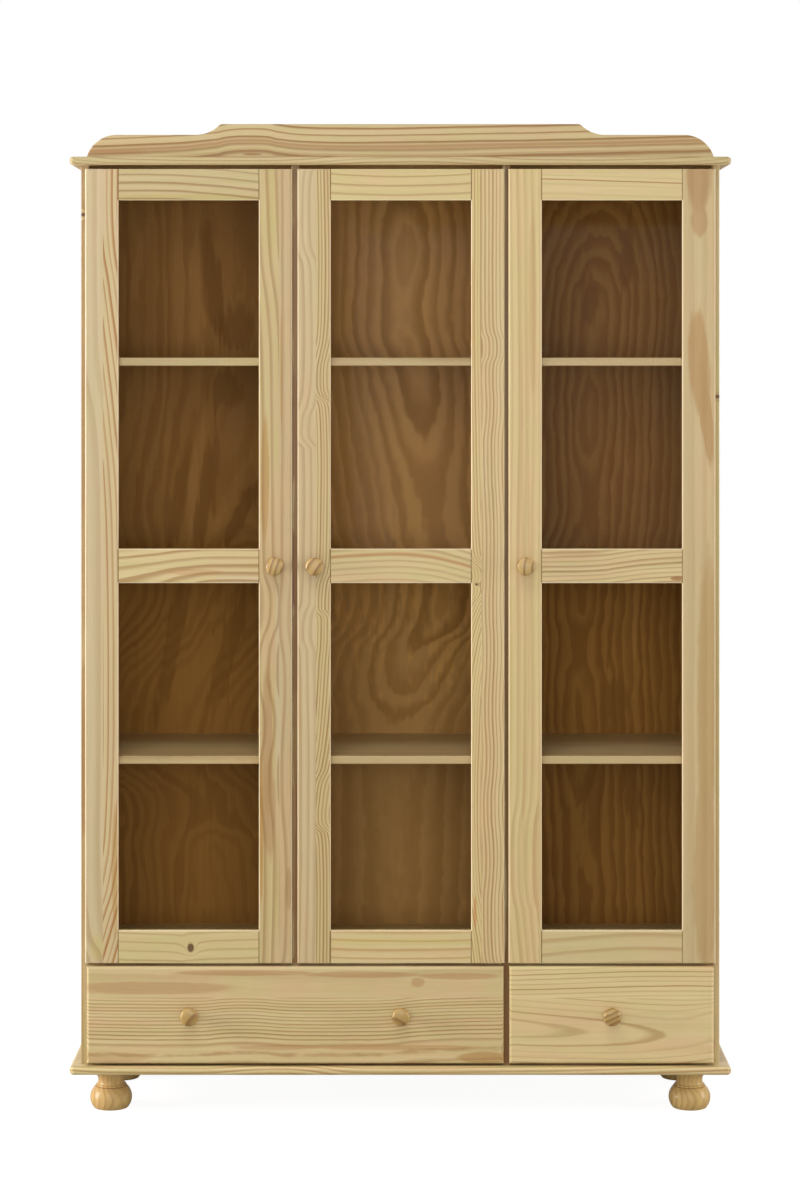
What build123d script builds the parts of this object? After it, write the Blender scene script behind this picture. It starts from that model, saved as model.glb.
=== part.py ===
from build123d import *
import math
import os

# Display cabinet in solid pine: three glazed doors over a wide and a narrow drawer.
# Millimetres. Origin on the floor below the middle of the whole, +Z up, the front faces -Y.

# Main sizes
body_width = 1250.0  # over the side panels
board_overhang = 20.0  # base board and top board beyond each side panel
board_depth = 380.0  # base board and top board, front to back
carcass_height = 1758.0  # side panels, between base board and top board
foot_height = 78.0
base_thickness = 16.0
top_thickness = 16.0
side_thickness = 16.0
upright_thickness = 16.0  # partition and divider
shelf_thickness = 16.0
floor_thickness = 16.0
edge_rounding = 2.0  # eased front edges of carcass boards
board_rounding = 6.0  # base and top board, upper and lower edges
board_corner = 10.0  # base and top board, front corners in plan

# Pediment
pediment_height = 64.0
pediment_shoulder = 43.0
pediment_thickness = 18.0
pediment_setback = 12.0  # behind the front of the top board
pediment_inset = 33.0  # its foot from the end of the top board
pediment_end_radius = 60.0
pediment_crest_half = 347.0  # level part in the middle
pediment_hollow_radius = 66.0  # hollow part of the step up to the crest
pediment_nose_radius = 10.0  # round part of that step
pediment_bevel = 2.0  # eased front edge

# Doors
door_thickness = 20.0
door_reveal = 10.0  # side panel left showing beside a door
door_pair_gap = 10.0  # between the left and the middle door
door_divider_gap = 7.5  # between the middle and the right door
door_top_gap = 8.0
door_clearance = 2.0  # between a closed door and the carcass
front_setback = 8.0  # door and drawer faces, behind the front of the base board
stile_width = 65.0
top_rail_width = 61.0
middle_rail_width = 67.0
bottom_rail_width = 63.5
outer_rounding = 4.0  # long outer edges of a door
inner_rounding = 2.0  # edges round the panes
tenon_length = 20.0
tenon_thickness = 7.0
tenon_shoulder = 14.0  # rail edge to tenon edge
mortise_clearance = 0.2

# Glazing
rebate_width = 9.0
lip_thickness = 9.0  # wood left in front of the glass
glass_thickness = 4.0
glass_clearance = 1.0
bead_width = 8.0
bead_joint = 0.3  # between two beads at a corner

# Drawers
drawer_front_thickness = 20.0
drawer_front_height = 190.5
drawer_reveal = 13.0  # side panel left showing beside a drawer
drawer_bottom_gap = 4.5
drawer_divider_gap = 10.0  # between the two drawer fronts
drawer_door_gap = 6.5
drawer_rounding = 6.0
drawer_side_thickness = 12.0
drawer_side_height = 150.0
drawer_side_rise = 8.0  # drawer box above the lower edge of its front
drawer_box_depth = 330.0
drawer_side_clearance = 2.5
drawer_back_drop = 12.0  # back lower than the sides
bottom_thickness = 4.0
bottom_groove = 6.0
bottom_rise = 10.0  # underside of the bottom above the lower edge of the sides
groove_clearance = 0.2
runner_height = 16.0
runner_bite = 6.5  # reach of the runner into the drawer side
runner_clearance = 0.5
runner_setback = 4.0

# Back panels, shelves and floor boards
back_rebate = 8.0
back_rebate_width = 9.0
back_thickness = 4.0
back_joint = 1.0  # between two back panels
back_play = 1.0  # between a back panel and the side of its rebate
floor_overlap = 5.0  # top of the floor boards above the lower edge of the doors
shelf_setback = 3.0
shelf_play = 0.5
lower_shelf_height = 680.0  # undersides of the loose shelves
upper_shelf_height = 1460.0
support_thickness = 2.0  # angle supports under the loose shelves
support_reach = 12.0
support_height = 14.0
support_width = 16.0
support_inset = 45.0  # supports from the front and back edge of the uprights

# Knobs
knob_radius = 17.5
knob_projection = 26.0
knob_neck_radius = 9.5
knob_neck_length = 11.0
knob_rim_width = 8.0  # straight part of the rim, from the back of the head
knob_face_radius = 12.5  # flat face inside the bevelled rim
knob_inset = 33.5  # centre from the free edge of a door
wide_knob_spacing = 412.0

# Bun feet
foot_front_inset = 70.0  # axis of the front feet behind the front of the base board
foot_back_inset = 75.0
foot_side_inset = 75.0  # axis in from the end of the base board
foot_ball_radius = 41.0  # widest
foot_ball_level = 20.0  # height of the widest place
foot_ball_curve = 30.0  # radius of the ball's outline
foot_ball_top = 42.0
foot_ball_steps = 6  # the ball's outline is turned in this many straight steps
foot_bead_height = 4.6
foot_bead_radius = 30.0
foot_quirk = 2.0  # depth of the grooves beside the bead
foot_neck_radius = 25.5
foot_neck_level = 53.0
foot_flange_radius = 31.0
foot_flange_thickness = 12.0

# Concealed hinges
hinge_end_distance = 95.0  # outer hinges from the ends of a door
hinge_middle_lift = 110.0  # middle hinge above the middle of the door, clear of the fixed shelf
cup_radius = 17.5
cup_depth = 11.5
cup_bore_clearance = 0.1
cup_bore_depth = 12.0
cup_inset = 22.0  # cup centre from the hinge edge of a door
cup_flange_length = 56.0
cup_flange_width = 24.0
cup_flange_thickness = 1.2
hinge_running_gap = 0.4
plate_length = 50.0
plate_thickness = 3.0
plate_front = 24.0  # plate behind the front edge of the upright
plate_depth = 32.0
arm_height = 14.0
arm_thickness = 9.0
arm_nose_depth = 8.0
arm_nose_reach = 1.5  # nose past the middle of the cup

# Levels
base_top = foot_height + base_thickness
carcass_top = base_top + carcass_height
cornice_top = carcass_top + top_thickness
drawer_low = base_top + drawer_bottom_gap
drawer_high = drawer_low + drawer_front_height
door_low = drawer_high + drawer_door_gap
door_high = carcass_top - door_top_gap
door_middle = (door_low + door_high) / 2
floor_top = door_low + floor_overlap
floor_low = floor_top - floor_thickness
middle_shelf_height = door_middle - shelf_thickness / 2
box_low = drawer_low + drawer_side_rise
box_high = box_low + drawer_side_height
bottom_low = box_low + bottom_rise

# Depths
overall_depth = board_depth - front_setback + knob_projection
back_y = overall_depth / 2
front_y = back_y - board_depth
face_y = front_y + front_setback
door_back_y = face_y + door_thickness
carcass_y = door_back_y + door_clearance
panel_y = back_y - back_rebate
shelf_y = carcass_y + shelf_setback
glass_y = face_y + lip_thickness
bead_y = glass_y + glass_thickness
box_back_y = face_y + drawer_front_thickness + drawer_box_depth
support_rows = (carcass_y + support_inset, panel_y - support_inset)

# Places across the width
side_outer = body_width / 2
side_inner = side_outer - side_thickness
board_width = body_width + 2 * board_overhang
pediment_half_width = board_width / 2 - pediment_inset
door_width = (body_width - 2 * door_reveal - door_pair_gap - door_divider_gap) / 3
left_door_x = -side_outer + door_reveal
middle_door_x = left_door_x + door_width + door_pair_gap
right_door_x = middle_door_x + door_width + door_divider_gap
partition_x = middle_door_x - door_pair_gap / 2
divider_x = right_door_x - door_divider_gap / 2
half_upright = upright_thickness / 2
left_bay = (-side_inner, partition_x - half_upright)
middle_bay = (partition_x + half_upright, divider_x - half_upright)
right_bay = (divider_x + half_upright, side_inner)
wide_bay = (-side_inner, divider_x - half_upright)
bays = {"left": left_bay, "middle": middle_bay, "right": right_bay}

# Each door: its left edge, and which of its edges carries the hinges
doors = {
    "left": (left_door_x, "left"),
    "middle": (middle_door_x, "right"),
    "right": (right_door_x, "right"),
}
hinge_levels = (
    door_low + hinge_end_distance,
    door_middle + hinge_middle_lift,
    door_high - hinge_end_distance,
)

# The two panes of a door, lower and upper: bottom and top edge of each opening
lower_opening = (door_low + bottom_rail_width, door_middle - middle_rail_width / 2)
upper_opening = (door_middle + middle_rail_width / 2, door_high - top_rail_width)
openings = (lower_opening, upper_opening)

# Rails of a door: bottom and top edge
rails = {
    "bottom": (door_low, lower_opening[0]),
    "middle": (lower_opening[1], upper_opening[0]),
    "top": (upper_opening[1], door_high),
}

os.makedirs("parts", exist_ok=True)


def save(piece, name):
    piece.label = name
    export_step(piece, f"parts/{name}.step")


def middle(pair):
    return (pair[0] + pair[1]) / 2


def span(pair):
    return pair[1] - pair[0]


def block(x_pair, y_pair, z_pair, mode=Mode.ADD):
    # A straight piece of board or a straight cut, drawn in plan and raised
    with BuildSketch(Plane.XY.offset(z_pair[0])) as plan:
        with Locations((middle(x_pair), middle(y_pair))):
            Rectangle(span(x_pair), span(y_pair))
    extrude(plan.sketch, amount=span(z_pair), mode=mode)


# Base board and top board: the same board, rounded along its front and ends
def edged_board(low, thickness):
    with BuildPart() as board:
        block((-board_width / 2, board_width / 2), (front_y, back_y), (low, low + thickness))
        corners = board.edges().filter_by(Axis.Z).group_by(Axis.Y)[0]
        fillet(corners, board_corner)
        for side in (0, -1):
            rim = board.faces().filter_by(Axis.Z).sort_by(Axis.Z)[side].edges()
            rim = rim.filter_by(lambda edge: edge.center().Y < back_y - board_corner / 2)
            fillet(rim, board_rounding)
    return board.part


save(edged_board(foot_height, base_thickness), "base_board")
save(edged_board(carcass_top, top_thickness), "top_board")

# Pediment: quarter-round ends, level shoulders, an ogee step on each side up to the crest
step_rise = pediment_height - pediment_shoulder
step_radii = pediment_hollow_radius + pediment_nose_radius
step_angle = math.acos(1 - step_rise / step_radii)
step_run = step_radii * math.sin(step_angle)
hollow_run = pediment_hollow_radius * math.sin(step_angle)
hollow_rise = pediment_hollow_radius * (1 - math.cos(step_angle))
half_angle = step_angle / 2
shoulder_end = pediment_crest_half + step_run
end_drop = pediment_end_radius - pediment_shoulder
end_run = math.sqrt(pediment_end_radius**2 - end_drop**2)
end_angle = (math.pi / 2 - math.asin(end_drop / pediment_end_radius)) / 2
end_centre = pediment_half_width - end_run

with BuildPart() as pediment:
    with BuildSketch(Plane.XZ.offset(-(front_y + pediment_setback + pediment_thickness))):
        with BuildLine():
            Line((0, cornice_top), (pediment_half_width, cornice_top))
            ThreePointArc(
                (pediment_half_width, cornice_top),
                (
                    end_centre + pediment_end_radius * math.sin(end_angle),
                    cornice_top - end_drop + pediment_end_radius * math.cos(end_angle),
                ),
                (end_centre, cornice_top + pediment_shoulder),
            )
            Line(
                (end_centre, cornice_top + pediment_shoulder),
                (shoulder_end, cornice_top + pediment_shoulder),
            )
            ThreePointArc(
                (shoulder_end, cornice_top + pediment_shoulder),
                (
                    shoulder_end - pediment_hollow_radius * math.sin(half_angle),
                    cornice_top + pediment_shoulder
                    + pediment_hollow_radius * (1 - math.cos(half_angle)),
                ),
                (shoulder_end - hollow_run, cornice_top + pediment_shoulder + hollow_rise),
            )
            ThreePointArc(
                (shoulder_end - hollow_run, cornice_top + pediment_shoulder + hollow_rise),
                (
                    pediment_crest_half + pediment_nose_radius * math.sin(half_angle),
                    cornice_top + pediment_height
                    - pediment_nose_radius * (1 - math.cos(half_angle)),
                ),
                (pediment_crest_half, cornice_top + pediment_height),
            )
            Line(
                (pediment_crest_half, cornice_top + pediment_height),
                (0, cornice_top + pediment_height),
            )
            mirror(about=Plane.YZ)
        make_face()
    extrude(amount=pediment_thickness)
    outline = pediment.faces().sort_by(Axis.Y)[0].edges()
    outline = outline.filter_by(lambda edge: edge.center().Z > cornice_top + pediment_bevel)
    chamfer(outline, pediment_bevel)
save(pediment.part, "pediment")

# Side panels: rebated at the back for the back panels
with BuildPart() as side_panel:
    block((-side_outer, -side_inner), (carcass_y, back_y), (base_top, carcass_top))
    block(
        (-side_inner - back_rebate_width, -side_inner),
        (panel_y, back_y),
        (base_top, carcass_top),
        Mode.SUBTRACT,
    )
    fillet(side_panel.edges().filter_by(Axis.Z).group_by(Axis.Y)[0], edge_rounding)
save(side_panel.part, "side_panel_left")

with BuildPart() as side_panel_right:
    mirror(side_panel.part, about=Plane.YZ)
save(side_panel_right.part, "side_panel_right")


# Uprights inside: the partition stands on the floor board, the divider on the base board
def upright(centre, low):
    with BuildPart() as board:
        faces = (centre - half_upright, centre + half_upright)
        block(faces, (carcass_y, panel_y), (low, carcass_top))
        fillet(board.edges().filter_by(Axis.Z).group_by(Axis.Y)[0], edge_rounding)
    return board.part


save(upright(partition_x, floor_top), "centre_partition")
save(upright(divider_x, base_top), "divider_panel")


# Floor boards over the drawers, and shelves
def shelf(bay, low, thickness, front, play):
    with BuildPart() as board:
        block((bay[0] + play, bay[1] - play), (front, panel_y), (low, low + thickness))
        fillet(board.edges().filter_by(Axis.X).group_by(Axis.Y)[0], edge_rounding)
    return board.part


save(shelf(wide_bay, floor_low, floor_thickness, carcass_y, 0), "floor_board_wide")
save(shelf(right_bay, floor_low, floor_thickness, carcass_y, 0), "floor_board_narrow")

for bay_name, bay in bays.items():
    for level_name, level in (("lower", lower_shelf_height), ("upper", upper_shelf_height)):
        save(shelf(bay, level, shelf_thickness, shelf_y, shelf_play), f"shelf_{bay_name}_{level_name}")

with BuildPart() as fixed_shelves:
    for bay in bays.values():
        add(shelf(bay, middle_shelf_height, shelf_thickness, shelf_y, 0))
save(fixed_shelves.part, "fixed_shelves")

# Shelf supports: a small angle under each corner of the loose shelves
with BuildPart() as shelf_supports:
    for bay in bays.values():
        for wall, inward in ((bay[0], 1), (bay[1], -1)):
            leg_x = sorted((wall, wall + inward * support_thickness))
            seat_x = sorted((wall, wall + inward * support_reach))
            for y in support_rows:
                support_y = (y - support_width / 2, y + support_width / 2)
                for level in (lower_shelf_height, upper_shelf_height):
                    block(leg_x, support_y, (level - support_height, level))
                    block(seat_x, support_y, (level - support_thickness, level))
save(shelf_supports.part, "shelf_supports")

# Back panels: one to a bay, meeting behind the uprights
back_edges = {
    "left": (-side_inner - back_rebate_width + back_play, partition_x - back_joint / 2),
    "middle": (partition_x + back_joint / 2, divider_x - back_joint / 2),
    "right": (divider_x + back_joint / 2, side_inner + back_rebate_width - back_play),
}
for bay_name, edges_x in back_edges.items():
    with BuildPart() as back_panel:
        block(edges_x, (panel_y, panel_y + back_thickness), (base_top, carcass_top))
    save(back_panel.part, f"back_panel_{bay_name}")

# Bun feet: turned ball, bead between two grooves, hollow neck and flange under the base board
ball_axis = foot_ball_radius - foot_ball_curve
ball_low = -math.asin(foot_ball_level / foot_ball_curve)
ball_high = math.asin((foot_ball_top - foot_ball_level) / foot_ball_curve)
ball_angles = [
    ball_low + (ball_high - ball_low) * step / foot_ball_steps for step in range(foot_ball_steps + 1)
]
ball_outline = [
    (ball_axis + foot_ball_curve * math.cos(a), foot_ball_level + foot_ball_curve * math.sin(a))
    for a in ball_angles
]
groove_radius = foot_bead_radius - foot_quirk
bead_top = foot_ball_top + foot_bead_height
flange_low = foot_height - foot_flange_thickness
foot_outline = [
    (0, foot_height),
    (0, 0),
    *ball_outline,
    (groove_radius, foot_ball_top),
    (foot_bead_radius, (foot_ball_top + bead_top) / 2),
    (groove_radius, bead_top),
    (foot_neck_radius, foot_neck_level),
    (foot_flange_radius - foot_quirk, flange_low),
    (foot_flange_radius, flange_low),
    (foot_flange_radius, foot_height),
]


def foot(x, y):
    with BuildSketch(Plane(origin=(x, y, 0), x_dir=(1, 0, 0), z_dir=(0, -1, 0))) as profile:
        with BuildLine():
            Polyline(foot_outline, close=True)
        make_face()
    revolve(profile.sketch, axis=Axis((x, y, 0), (0, 0, 1)))


foot_x = board_width / 2 - foot_side_inset
with BuildPart() as bun_feet:
    for x in (-foot_x, foot_x):
        for y in (front_y + foot_front_inset, back_y - foot_back_inset):
            foot(x, y)
save(bun_feet.part, "bun_feet")


# Turned knob: a neck, and a wide head with a bevelled rim
knob_outline = [
    (0, knob_projection),
    (0, 0),
    (knob_neck_radius, 0),
    (knob_neck_radius, knob_neck_length),
    (knob_radius, knob_neck_length),
    (knob_radius, knob_neck_length + knob_rim_width),
    (knob_face_radius, knob_projection),
]


def knob(x, z):
    with BuildSketch(Plane(origin=(x, face_y, z), x_dir=(1, 0, 0), z_dir=(0, 0, -1))) as profile:
        with BuildLine():
            Polyline(knob_outline, close=True)
        make_face()
    revolve(profile.sketch, axis=Axis((x, face_y, z), (0, 1, 0)))


def knob_set(places, name):
    with BuildPart() as knobs:
        for x, z in places:
            knob(x, z)
    save(knobs.part, name)


# Door frames: stiles and rails with mortise and tenon joints and a rear rebate for the glass
def tenon_levels(rail):
    return (rail[0] + tenon_shoulder, rail[1] - tenon_shoulder)


def stile(outer, inward, has_hinges):
    inner = outer + inward * stile_width
    x_pair = (min(outer, inner), max(outer, inner))
    tenon_y = glass_y - tenon_thickness / 2
    with BuildPart() as board:
        block(x_pair, (face_y, door_back_y), (door_low, door_high))
        front = board.edges().filter_by(Axis.Z).group_by(Axis.Y)[0].sort_by(Axis.X)
        outer_edge = front[0] if inward > 0 else front[-1]
        inner_edge = front[-1] if inward > 0 else front[0]
        fillet(outer_edge, outer_rounding)
        fillet(inner_edge, inner_rounding)
        rebate_x = sorted((inner, inner - inward * rebate_width))
        for low, high in openings:
            block(
                rebate_x,
                (glass_y, door_back_y),
                (low - rebate_width, high + rebate_width),
                Mode.SUBTRACT,
            )
        mortise_x = sorted((inner, inner - inward * (tenon_length + mortise_clearance)))
        for rail in rails.values():
            low, high = tenon_levels(rail)
            block(
                mortise_x,
                (tenon_y - mortise_clearance, tenon_y + tenon_thickness + mortise_clearance),
                (low - mortise_clearance, high + mortise_clearance),
                Mode.SUBTRACT,
            )
        if has_hinges:
            with BuildSketch(Plane.XZ.offset(-door_back_y)):
                with Locations(*[(outer + inward * cup_inset, z) for z in hinge_levels]):
                    Circle(cup_radius + cup_bore_clearance)
            extrude(amount=cup_bore_depth, mode=Mode.SUBTRACT)
    return board.part


def rail_board(x_pair, rail):
    low, high = rail
    tenon_y = glass_y - tenon_thickness / 2
    with BuildPart() as board:
        block(x_pair, (face_y, door_back_y), (low, high))
        lower_edge, upper_edge = board.edges().filter_by(Axis.X).group_by(Axis.Y)[0].sort_by(Axis.Z)
        if low > door_low:
            fillet(lower_edge, inner_rounding)
            block(x_pair, (glass_y, door_back_y), (low, low + rebate_width), Mode.SUBTRACT)
        if high < door_high:
            fillet(upper_edge, inner_rounding)
            block(x_pair, (glass_y, door_back_y), (high - rebate_width, high), Mode.SUBTRACT)
        tenon_x = (x_pair[0] - tenon_length, x_pair[1] + tenon_length)
        block(tenon_x, (tenon_y, tenon_y + tenon_thickness), tenon_levels(rail))
    return board.part


def panes(x_pair):
    reach = rebate_width - glass_clearance
    with BuildPart() as glass:
        for low, high in openings:
            block(
                (x_pair[0] - reach, x_pair[1] + reach),
                (glass_y, glass_y + glass_thickness),
                (low - reach, high + reach),
            )
    return glass.part


def bead_strips(x_pair):
    left, right = x_pair[0] - rebate_width, x_pair[1] + rebate_width
    with BuildPart() as beads:
        for opening in openings:
            low, high = opening[0] - rebate_width, opening[1] + rebate_width
            depth = (bead_y, door_back_y)
            block((left, right), depth, (low, low + bead_width))
            block((left, right), depth, (high - bead_width, high))
            uprights_z = (low + bead_width + bead_joint, high - bead_width - bead_joint)
            block((left, left + bead_width), depth, uprights_z)
            block((right - bead_width, right), depth, uprights_z)
    return beads.part


# Hinge cup: a round cup in the stile, under a flange that is screwed to its back
def hinge_cups(cup_x, name):
    with BuildPart() as cups:
        for z in hinge_levels:
            with BuildSketch(Plane.XZ.offset(-door_back_y)) as cup:
                with Locations((cup_x, z)):
                    Circle(cup_radius)
            extrude(cup.sketch, amount=cup_depth)
            with BuildSketch(Plane.XZ.offset(-door_back_y)) as flange:
                with Locations((cup_x, z)):
                    Rectangle(cup_flange_width, cup_flange_length)
            extrude(flange.sketch, amount=-cup_flange_thickness)
    save(cups.part, name)


for door_name, (door_x, hinge_side) in doors.items():
    door_right = door_x + door_width
    inside = (door_x + stile_width, door_right - stile_width)
    prefix = f"{door_name}_door"
    save(stile(door_x, 1, hinge_side == "left"), f"{prefix}_left_stile")
    save(stile(door_right, -1, hinge_side == "right"), f"{prefix}_right_stile")
    for rail_name, rail in rails.items():
        save(rail_board(inside, rail), f"{prefix}_{rail_name}_rail")
    save(panes(inside), f"{prefix}_glass")
    save(bead_strips(inside), f"{prefix}_glazing_beads")
    if hinge_side == "left":
        hinge_cups(door_x + cup_inset, f"{prefix}_hinge_cups")
        knob_set([(door_right - knob_inset, door_middle)], f"{prefix}_knob")
    else:
        hinge_cups(door_right - cup_inset, f"{prefix}_hinge_cups")
        knob_set([(door_x + knob_inset, door_middle)], f"{prefix}_knob")


# Hinge arms: a plate on the upright, and an arm with a nose that reaches towards the cup
def hinge_arm(wall, inward, cup_x, z):
    nose_y = door_back_y + cup_flange_thickness + hinge_running_gap
    plate_y = (carcass_y + plate_front, carcass_y + plate_front + plate_depth)
    arm_face = wall + inward * plate_thickness
    arm_top = arm_face + inward * arm_thickness
    nose_end = cup_x + inward * arm_nose_reach
    block(
        sorted((wall, arm_face)), plate_y, (z - plate_length / 2, z + plate_length / 2)
    )
    with BuildSketch(Plane.XY.offset(z - arm_height / 2)) as plan:
        with BuildLine():
            Polyline(
                (arm_face, plate_y[1]),
                (arm_top, plate_y[1]),
                (arm_top, plate_y[0]),
                (nose_end, nose_y + arm_nose_depth),
                (nose_end, nose_y),
                (arm_face, nose_y),
                (arm_face, plate_y[1]),
            )
        make_face()
    extrude(plan.sketch, amount=arm_height)


hinge_walls = {
    "left": (left_bay[0], 1, left_door_x + cup_inset),
    "middle": (middle_bay[1], -1, middle_door_x + door_width - cup_inset),
    "right": (right_bay[1], -1, right_door_x + door_width - cup_inset),
}
with BuildPart() as hinge_arms:
    for wall, inward, cup_x in hinge_walls.values():
        for z in hinge_levels:
            hinge_arm(wall, inward, cup_x, z)
save(hinge_arms.part, "hinge_arms")

# Drawers: a rounded front on a grooved box, hung on battens
runner_middle = (box_low + box_high) / 2
runner_levels = (runner_middle - runner_height / 2, runner_middle + runner_height / 2)
groove_levels = (runner_levels[0] - runner_clearance, runner_levels[1] + runner_clearance)
bottom_groove_levels = (bottom_low - groove_clearance, bottom_low + bottom_thickness + groove_clearance)


def drawer(front_x, bay, knob_places, name):
    box_x = (bay[0] + drawer_side_clearance, bay[1] - drawer_side_clearance)
    inner_x = (box_x[0] + drawer_side_thickness, box_x[1] - drawer_side_thickness)
    front_back = face_y + drawer_front_thickness
    box_y = (front_back, box_back_y)
    bottom_x = (inner_x[0] - bottom_groove, inner_x[1] + bottom_groove)

    with BuildPart() as front:
        block(front_x, (face_y, front_back), (drawer_low, drawer_high))
        fillet(front.edges().group_by(Axis.Y)[0], drawer_rounding)
        block(
            (bottom_x[0] - groove_clearance, bottom_x[1] + groove_clearance),
            (front_back - bottom_groove - groove_clearance, front_back),
            bottom_groove_levels,
            Mode.SUBTRACT,
        )
    save(front.part, f"{name}_front")

    with BuildPart() as sides:
        for outer, inward in ((box_x[0], 1), (box_x[1], -1)):
            inner = outer + inward * drawer_side_thickness
            block(sorted((outer, inner)), box_y, (box_low, box_high))
            runner_groove = outer + inward * (runner_bite + runner_clearance)
            block(sorted((outer, runner_groove)), box_y, groove_levels, Mode.SUBTRACT)
            panel_groove = inner - inward * (bottom_groove + groove_clearance)
            block(sorted((inner, panel_groove)), box_y, bottom_groove_levels, Mode.SUBTRACT)
    save(sides.part, f"{name}_sides")

    with BuildPart() as back:
        back_levels = (bottom_low + bottom_thickness, box_high - drawer_back_drop)
        block(inner_x, (box_back_y - drawer_side_thickness, box_back_y), back_levels)
    save(back.part, f"{name}_back")

    with BuildPart() as bottom:
        block(
            bottom_x,
            (front_back - bottom_groove, box_back_y),
            (bottom_low, bottom_low + bottom_thickness),
        )
    save(bottom.part, f"{name}_bottom")
    knob_set(knob_places, f"{name}_knobs")


drawer_level = (drawer_low + drawer_high) / 2
half_gap = drawer_divider_gap / 2
wide_front = (-side_outer + drawer_reveal, divider_x - half_gap)
narrow_front = (divider_x + half_gap, side_outer - drawer_reveal)
wide_knobs = [
    (middle(wide_front) - wide_knob_spacing / 2, drawer_level),
    (middle(wide_front) + wide_knob_spacing / 2, drawer_level),
]
drawer(wide_front, wide_bay, wide_knobs, "wide_drawer")
drawer(narrow_front, right_bay, [(middle(narrow_front), drawer_level)], "narrow_drawer")

# Runners: a batten on each wall of the two drawer bays
with BuildPart() as drawer_runners:
    for wall, inward in ((wide_bay[0], 1), (wide_bay[1], -1), (right_bay[0], 1), (right_bay[1], -1)):
        runner_face = wall + inward * (drawer_side_clearance + runner_bite)
        block(sorted((wall, runner_face)), (carcass_y + runner_setback, panel_y), runner_levels)
save(drawer_runners.part, "drawer_runners")
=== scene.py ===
import math
import random

import bmesh
import bpy
from mathutils import Matrix, Vector


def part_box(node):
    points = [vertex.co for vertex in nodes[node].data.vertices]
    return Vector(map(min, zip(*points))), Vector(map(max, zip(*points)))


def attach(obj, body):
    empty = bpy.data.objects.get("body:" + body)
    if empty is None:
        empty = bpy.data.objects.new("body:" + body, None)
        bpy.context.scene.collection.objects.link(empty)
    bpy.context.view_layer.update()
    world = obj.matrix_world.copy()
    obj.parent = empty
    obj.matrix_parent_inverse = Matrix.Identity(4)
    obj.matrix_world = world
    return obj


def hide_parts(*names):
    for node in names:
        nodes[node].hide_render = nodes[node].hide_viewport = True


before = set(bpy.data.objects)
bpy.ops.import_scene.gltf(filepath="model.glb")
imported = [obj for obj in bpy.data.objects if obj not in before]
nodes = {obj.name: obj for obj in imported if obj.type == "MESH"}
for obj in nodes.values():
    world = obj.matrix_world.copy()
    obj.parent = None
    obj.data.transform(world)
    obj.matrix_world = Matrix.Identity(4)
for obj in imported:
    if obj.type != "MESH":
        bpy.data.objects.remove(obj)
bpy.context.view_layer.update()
print("cabinet: frame loaded,", len(nodes), "nodes")

mm = 0.001
bays = ("left", "middle", "right")


def shade(red, green, blue):
    # a screen colour, 0 to 255, as the linear one that Blender wants
    parts = [c / 255 for c in (red, green, blue)]
    return tuple(((p + 0.055) / 1.055) ** 2.4 if p > 0.04 else p / 12.92 for p in parts) + (1,)


class Wire:
    # an output socket; sums on it become Math nodes

    def __init__(self, tree, socket=None):
        self.tree = tree
        self.socket = socket

    def node(self, kind, settings=None, inputs=None, output=0):
        made = self.tree.nodes.new("ShaderNode" + kind)
        for name, value in (settings or {}).items():
            if name == "points":  # of a curve
                line = made.mapping.curves[0].points
                line[0].location, line[1].location = value[0], value[-1]
                for point in value[1:-1]:
                    line.new(*point)
                made.mapping.update()
            else:
                setattr(made, name, value)
        for key, value in (inputs or {}).items():
            if isinstance(value, Wire):
                self.tree.links.new(value.socket, made.inputs[key])
            else:
                made.inputs[key].default_value = value
        return Wire(self.tree, made.outputs[output] if made.outputs else None)

    def sum(self, operation, *values):
        return self.node("Math", {"operation": operation}, dict(enumerate(values)))

    def __add__(self, other):
        return self.sum("ADD", self, other)

    __radd__ = __add__

    def __sub__(self, other):
        return self.sum("SUBTRACT", self, other)

    def __rsub__(self, other):
        return self.sum("SUBTRACT", other, self)

    def __mul__(self, other):
        return self.sum("MULTIPLY", self, other)

    __rmul__ = __mul__

    def __pow__(self, other):
        return self.sum("POWER", self, other)

    def __rpow__(self, other):
        return self.sum("POWER", other, self)

    def ease(self, low, high, start=0.0, end=1.0):
        # a smooth step from start, at low, to end, at high
        ends = {"Value": self, "From Min": low, "From Max": high, "To Min": start, "To Max": end}
        return self.node("MapRange", {"interpolation_type": "SMOOTHSTEP"}, ends)

    def blend(self, first, second):
        # first to second colour, as this value goes from 0 to 1
        return self.node("Mix", {"data_type": "RGBA"}, {0: self, 6: first, 7: second}, 2)


def newPaint(name):
    material = bpy.data.materials.new(name)
    material.use_nodes = True
    tree = material.node_tree
    tree.nodes.clear()
    return material, Wire(tree)


def finishPaint(paint, shader, kind="OutputMaterial"):
    paint.node(kind, None, {"Surface": shader})


def finishWood(paint, look, colour, roughness, height):
    relief = {"Strength": look["relief"], "Distance": look["reliefDepth"] * mm, "Height": height}
    finish = {
        "Base Color": colour,
        "Roughness": roughness,
        "Specular IOR Level": look["shine"],
        "Normal": paint.node("Bump", None, relief),
    }
    finishPaint(paint, paint.node("BsdfPrincipled", None, finish))


def nodeBox(name):
    # a node's lowest and highest corners, in mm
    return [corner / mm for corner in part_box(name)]


def roomAxes(paint):
    place = paint.node("TexCoord", output="Object")
    return [paint.node("SeparateXYZ", None, {0: place}, index) for index in range(3)]


seedSteps = (1.37, 2.71, 0.59)  # how far apart two seeds' noise is


def noise(paint, parts, sizes, seed, detail=1.0, rough=0.5):
    # soft noise from -1 to 1, of sizes in mm along, across and, if that differs, into the board
    scaled = [
        part * (1 / (size * mm)) + seed * step
        for part, size, step in zip(parts, (*sizes, sizes[1]), seedSteps)
    ]
    spot = paint.node("CombineXYZ", None, dict(enumerate(scaled)))
    inputs = {"Vector": spot, "Scale": 1.0, "Detail": detail, "Roughness": rough}
    return paint.node("TexNoise", None, inputs) * 2 - 1


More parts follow.
